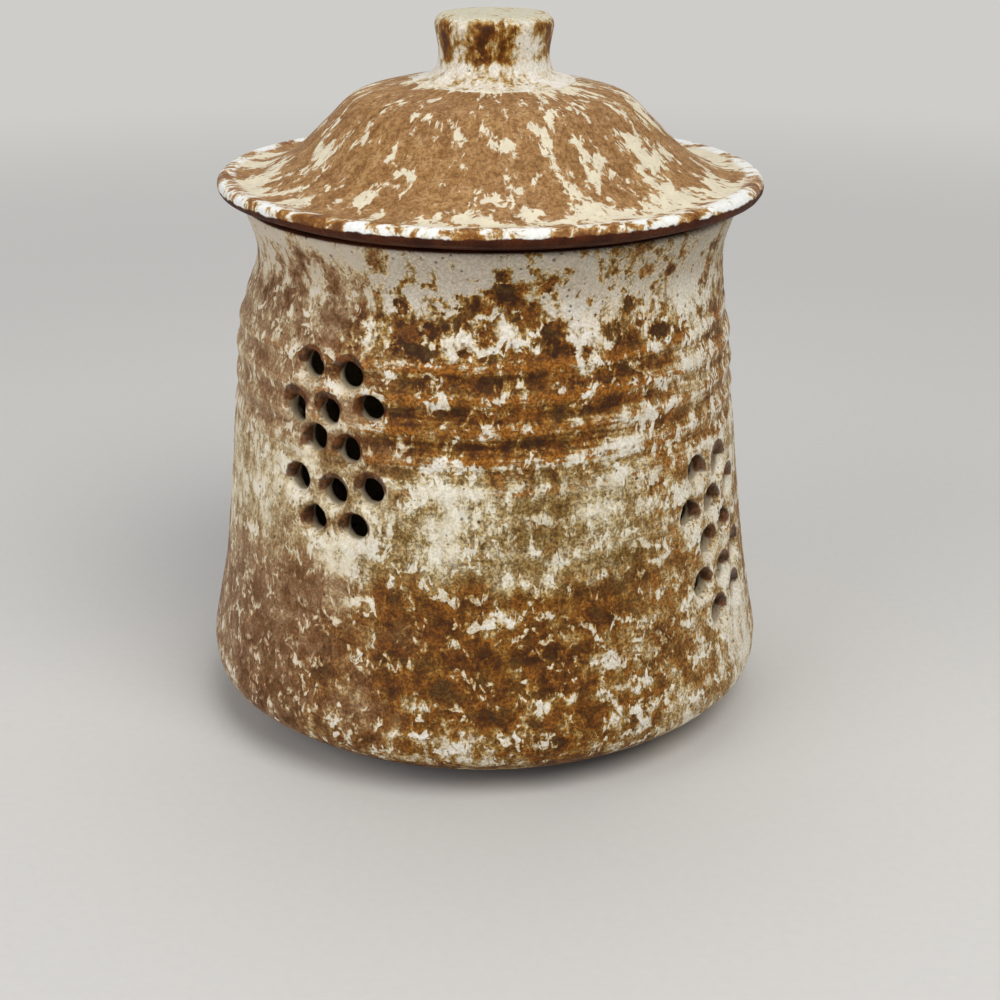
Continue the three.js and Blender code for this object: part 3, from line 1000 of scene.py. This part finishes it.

# %% [markdown]
# Grain and specks come through everywhere, less where the white is thick and on the left.
# Inside, the jar has an even pale glaze. The upper part of each hole's mouth is darkened to a rusty brown:
# partly thin glaze gone rusty, partly painted shade under the mouth's upper edge.

# %% Jar glaze: grain, inside, and rust with painted shade at the holes
iron_grain = grain_at(tree, point, 0.42, 0.95)
grain_strength = calc(tree, "MULTIPLY_ADD", is_pale, -0.40, calc(tree, "MULTIPLY_ADD", is_left, -0.18, 0.62))
glazed = tint(tree, glazed, iron_grain, grain_strength, IRON)
glazed = tint(tree, glazed, specks_at(tree, point, 2.0, 0.5, 0.5), 0.7, colour(58, 38, 20))
inner = unevenly(tree, colour(166, 151, 124), point, 8.0, 0.12)
inner = tint(tree, inner, specks_at(tree, point, 3.0, 0.5, 0.5), 0.7, IRON)
glazed = blend(tree, between(tree, under_face, 1.3, 2.4), glazed, inner)
# Painted shade with rust: the upper part of each hole's mouth and bore is darkened to a dark rusty brown.
rust_and_shade_noise = texture(tree, point, 3.0, 0.7, 0.6)
rusty_and_shaded = between(tree, around_zero(tree, rust_and_shade_noise, 0.9, hole_top), 0.25, 0.65, 0.0, 0.92)
rust_and_shade = blend(tree, between(tree, rust_and_shade_noise, 0.42, 0.60), colour(52, 26, 8), colour(104, 58, 22))
glazed = tint(tree, glazed, rusty_and_shaded, between(tree, hole_top, 0.0, 0.2), rust_and_shade)
print("jar glaze, rust:", len(tree.nodes), "nodes")

# %% [markdown]
# The foot and the seat of the lid are bare clay. Thick glaze stands a little proud and is glossier,
# and each grain of iron is a small pit, so both go into the relief and the roughness.

# %% Jar glaze: bare clay and finish
FOOT_LINE = (3.6, 4.2)
SEAT_LINE = (142.2, 142.7)
bare = use(tree, clay, Point=point)
at_foot = between(tree, around_zero(tree, sway, 6.0, z), *FOOT_LINE, 1.0, 0.0)
at_foot = times(tree, at_foot, between(tree, under_face, 12.0, 13.0, 1.0, 0.0))
is_bare = calc(tree, "MAXIMUM", at_foot, between(tree, z, *SEAT_LINE))
base = blend(tree, is_bare, glazed, bare["Colour"])
gloss = calc(tree, "MULTIPLY_ADD", iron_grain, 0.1, calc(tree, "MULTIPLY_ADD", is_pale, -0.10, 0.50))
roughness = calc(tree, "MULTIPLY_ADD", is_bare, 0.4, gloss, clamp=True)
relief = calc(tree, "MULTIPLY_ADD", is_pale, 0.5, times(tree, iron_grain, -0.25))
relief = calc(tree, "MULTIPLY_ADD", bare["Sand"], times(tree, is_bare, 0.5), relief)
close_material(tree, base, roughness, relief, 0.16)
print("jar glaze:", len(tree.nodes), "nodes")

# %% [markdown]
# The lid has one matt caramel glaze with torn cream flecks, which crowd towards the brim and the knob.
# The flecks ran down the dome. So their pattern lies on an unrolled cone: the direction from the middle
# gives two coordinates, and the way out and down gives the third, along which the flecks are stretched.

# %% Lid glaze: ground and flecks
UNROLLED_RADIUS = 48.0
lid_glaze, tree, point, x, y, z = new_material("fired_lid_glaze")
x = calc(tree, "SUBTRACT", x, NECK_DRIFT)
angle = angle_round(tree, x, y)
radius = calc(tree, "SQRT", calc(tree, "ADD", times(tree, x, x), times(tree, y, y)))
rise = calc(tree, "SUBTRACT", z, RIM_HEIGHT)
flow = node(tree, "ShaderNodeCombineXYZ", {
    "X": times(tree, calc(tree, "DIVIDE", x, radius), UNROLLED_RADIUS),
    "Y": times(tree, calc(tree, "DIVIDE", y, radius), UNROLLED_RADIUS),
    "Z": calc(tree, "MULTIPLY_ADD", rise, -0.5, radius),
}).outputs[0]
mottle = texture(tree, stretched(tree, flow, 3.0, 3.0, 4.0), 4.0, 0.7)
ground = ramp(tree, mottle, [
    (0.30, colour(122, 84, 44)), (0.46, colour(152, 112, 66)), (0.56, colour(166, 127, 81)),
    (0.70, colour(186, 149, 105)),
])
ground = unevenly(tree, ground, point, 18.0, 0.12)
iron_grain = grain_at(tree, point, 0.5, 0.8)
ground = tint(tree, ground, iron_grain, 0.52, colour(84, 48, 18))
clusters = texture(tree, stretched(tree, point, 24.0, 24.0, 24.0, 3.0), 1.0)
cover = around_zero(tree, clusters, 0.5, 0.24)
cover = calc(tree, "ADD", cover, between(tree, radius, 50.0, 66.0, 0.0, 0.22))
cover = calc(tree, "ADD", cover, between(tree, radius, 17.0, 25.0, 0.8, 0.0))
cover = calc(tree, "ADD", cover, between(tree, angle, 10.0, 50.0, 0.0, 0.12))
fleck = use(tree, patches, Point=flow, Width=3.4, Run=1.7, Cover=cover, Softness=0.010, Seed=2.0)
cream = unevenly(tree, colour(218, 208, 182), point, 4.0, 0.12)
cream = tint(tree, cream, grain_at(tree, point, 0.9, 0.15), 0.35, colour(150, 126, 88))
glazed = tint(tree, ground, fleck["Lace"], 0.35, colour(196, 158, 110))
glazed = blend(tree, fleck["Patch"], glazed, cream)
print("lid glaze, flecks:", len(tree.nodes), "nodes")

# %% [markdown]
# The rolled edge carries thick white and orange patches, and below its widest line the clay is bare.

# %% Lid glaze: rolled edge and bare underside
on_roll = between(tree, radius, 67.2, 69.0)
rolled = use(tree, melted, Point=point, Mean=0.66, Swing=1.0, Streaks=0.0, Tongues=0.2)["Thickness"]
edge_glaze = ramp(tree, rolled, [
    (0.0, colour(104, 62, 20)), (0.30, colour(140, 90, 38)), (0.48, colour(168, 124, 64)),
    (0.58, colour(198, 168, 118)), (0.66, colour(226, 219, 202)), (0.90, colour(238, 239, 236)),
])
grain_strength = between(tree, rolled, 0.55, 0.75, 0.45, 0.1)
edge_glaze = tint(tree, edge_glaze, iron_grain, grain_strength, colour(76, 44, 18))
edge_glaze = tint(tree, edge_glaze, specks_at(tree, point, 2.4, 0.4, 0.35), 0.7, colour(60, 48, 40))
glazed = blend(tree, on_roll, glazed, edge_glaze)
bare = use(tree, clay, Point=point)
line = around_zero(tree, texture(tree, point, 2.0, scale=0.35), 1.6, rise)
is_bare = times(tree, between(tree, line, 4.5, 5.0, 1.0, 0.0), between(tree, radius, 52.6, 53.4))
base = blend(tree, is_bare, glazed, bare["Colour"])
white_edge = times(tree, between(tree, rolled, 0.6, 0.8), on_roll)
is_white = calc(tree, "MAXIMUM", fleck["Patch"], white_edge)
roughness = calc(tree, "MULTIPLY_ADD", on_roll, -0.15, calc(tree, "MULTIPLY_ADD", is_white, -0.12, 0.60))
roughness = calc(tree, "MULTIPLY_ADD", is_bare, 0.25, roughness, clamp=True)
relief = calc(tree, "MULTIPLY_ADD", is_white, 0.5, times(tree, iron_grain, -0.2))
relief = calc(tree, "MULTIPLY_ADD", bare["Sand"], times(tree, is_bare, 0.5), relief)
close_material(tree, base, roughness, relief, 0.15)
print("lid glaze:", len(tree.nodes), "nodes")

# %% [markdown]
# The knob's side carries brown and olive patches with white runs between them.
# Its foot is white where the glaze ran off it and pooled, and its top is a thin greenish cream.

# %% Knob glaze
# Angle, height above the knob's foot, half width in degrees, half height, amount
KNOB_POOLS = [
    (-2, 10.5, 20, 5.0, -0.20), (-58, 10.5, 14, 5.0, -0.25), (66, 10.5, 14, 5.0, -0.20),
    (-34, 10.5, 7, 5.0, 0.30), (40, 10.5, 9, 5.0, 0.35),
]
knob_glaze, tree, point, x, y, z = new_material("fired_knob_glaze")
rise = calc(tree, "SUBTRACT", z, RIM_HEIGHT + KNOB_FOOT)
side = window(tree, rise, (4.0, 6.5), (14.5, 16.5))
angle = angle_round(tree, calc(tree, "SUBTRACT", x, NECK_DRIFT), y)
mean = add_pools(tree, calc(tree, "MULTIPLY_ADD", side, -0.36, 0.86), angle, rise, KNOB_POOLS)
thickness = use(tree, melted, Point=point, Mean=mean, Swing=0.55, Streaks=0.6, Tongues=0.3)["Thickness"]
is_pale = between(tree, thickness, 0.60, 0.85)
top = times(tree, between(tree, rise, 15.0, 16.6), is_pale)
glazed = tint(tree, ramp(tree, thickness, FRONT_COLOURS), top, 0.8, colour(196, 190, 158))
iron_grain = grain_at(tree, point, 0.42, 0.95)
glazed = tint(tree, glazed, iron_grain, calc(tree, "MULTIPLY_ADD", is_pale, -0.28, 0.48), IRON)
glazed = tint(tree, glazed, specks_at(tree, point, 2.2, 0.4, 0.4), 0.7, colour(60, 48, 36))
roughness = calc(tree, "MULTIPLY_ADD", is_pale, -0.12, 0.45)
relief = calc(tree, "MULTIPLY_ADD", is_pale, 0.5, times(tree, iron_grain, -0.2))
close_material(tree, glazed, roughness, relief, 0.15)
print("knob glaze:", len(tree.nodes), "nodes")

# %% [markdown]
# Each fired piece stands for its CAD node and rides on that node's body, so the lid lifts with its knob.

# %% Give the pieces their finish and their body
for piece, material, body, cad_node, slot in (
    (jar, jar_glaze, "jar", "jar_body", "jar_glaze"),
    (lid, lid_glaze, "lid", "lid", "lid_glaze"),
    (knob, knob_glaze, "lid", "lid_knob", "knob_glaze"),
):
    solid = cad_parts[cad_node]
    for shown in (piece, solid):
        shown.data.materials.clear()
        shown.data.materials.append(material)
    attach(piece, body)
    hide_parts(cad_node)
    print(piece.name, "stands for", cad_node, "and rides on", body)

# %% [markdown]
# A plain pale floor. The lamps light only its middle, so from behind its far part would look dark.
# To the camera it fades into one even pale colour instead, which the world has too.
# Light Path says which rays show the background, so the light that falls on the pot stays the same.

# %% Floor
FLOOR_RADIUS = 4000.0
FLOOR_CORNERS = 96
FADE = (350.0, 1100.0)
BACKDROP = colour(206, 205, 202)


def backdrop_share(tree):
    """1 where a ray shows the background: from the camera, in a reflection or through glass."""
    rays = node(tree, "ShaderNodeLightPath").outputs
    mirrored = calc(tree, "MAXIMUM", rays["Is Glossy Ray"], rays["Is Transmission Ray"])
    return calc(tree, "MAXIMUM", rays["Is Camera Ray"], mirrored)


floor_edge = [
    (FLOOR_RADIUS * math.sin(a), -FLOOR_RADIUS * math.cos(a), 0.0)
    for a in np.linspace(0, 2 * math.pi, FLOOR_CORNERS, endpoint=False)
]
floor = mesh_object("floor", np.array(floor_edge), [tuple(range(FLOOR_CORNERS))])
floor_finish, tree, point, *_ = new_material("floor_finish")
paper = texture(tree, point, 4.0, scale=0.4)
paper_colour = blend(tree, paper, colour(204, 203, 200), colour(210, 209, 206))
output = close_material(tree, paper_colour, 0.8, paper, 0.05)
lit = output.inputs["Surface"].links[0].from_socket
away = node(tree, "ShaderNodeVectorMath", {0: point}, operation="LENGTH").outputs["Value"]
far = times(tree, between(tree, away, *FADE), backdrop_share(tree))
even_light = node(tree, "ShaderNodeEmission", {"Color": BACKDROP, "Strength": 1.0}).outputs[0]
faded = node(tree, "ShaderNodeMixShader", {0: far, 1: lit, 2: even_light}).outputs[0]
tree.links.new(faded, output.inputs["Surface"])
floor.data.materials.append(floor_finish)
print("floor:", 2 * FLOOR_RADIUS / 1000, "m across")

# %% [markdown]
# Soft light comes from large round lamps: the main one is high in front and to the right,
# a weaker one fills from the left, and one above the back keeps the far side of the lid from going dark.
# The world adds a faint even light.

# %% Lamps and world
CENTRE = (0, 0, 0.1)
WORLD_LIGHT = 0.30


def lamp(name, place, size, power, tone):
    data = bpy.data.lights.new(name, "AREA")
    data.shape = "DISK"
    data.size = size
    data.energy = power
    data.color = tone
    made = bpy.data.objects.new(name, data)
    made.location = place
    made.rotation_euler = (Vector(CENTRE) - Vector(place)).to_track_quat("-Z", "Y").to_euler()
    bpy.context.scene.collection.objects.link(made)


lamp("key", (0.45, -0.70, 1.10), 0.9, 11.0, (1.0, 0.98, 0.95))
lamp("fill", (-0.95, -0.75, 0.60), 1.2, 7.5, (0.99, 0.98, 1.0))
lamp("top", (0.0, 0.45, 1.2), 0.9, 3.5, (1.0, 1.0, 1.0))

world = bpy.data.worlds.new("studio")
world.use_nodes = True
sky = world.node_tree
sky.nodes.clear()
soft = node(sky, "ShaderNodeBackground", {"Color": (0.93, 0.94, 0.96, 1), "Strength": WORLD_LIGHT}).outputs[0]
seen = node(sky, "ShaderNodeBackground", {"Color": BACKDROP, "Strength": 1.0}).outputs[0]
mixed = node(sky, "ShaderNodeMixShader", {0: backdrop_share(sky), 1: soft, 2: seen}).outputs[0]
node(sky, "ShaderNodeOutputWorld", {"Surface": mixed})
scene = bpy.context.scene
scene.world = world
scene.view_settings.view_transform = "Standard"

# %% [markdown]
# The camera stands where the photograph was taken from. Its lens comes from the focal length in pixels
# of a square picture 1000 pixels wide.

# %% Camera
SENSOR_WIDTH = 36
FOCAL_SHARE = 1.8
CAMERA_PLACE = (0, -0.48197, 0.24532)
LOOK_DOWN_DEGREES = 21.65
LOOK_RIGHT_DEGREES = 0.525
camera_data = bpy.data.cameras.new("camera")
camera_data.sensor_width = SENSOR_WIDTH
camera_data.lens = SENSOR_WIDTH * FOCAL_SHARE
camera = bpy.data.objects.new("camera", camera_data)
camera.location = CAMERA_PLACE
camera.rotation_euler = (math.radians(90 - LOOK_DOWN_DEGREES), 0, math.radians(-LOOK_RIGHT_DEGREES))
scene.collection.objects.link(camera)
scene.camera = camera
print("lens:", round(camera_data.lens, 1), "mm")
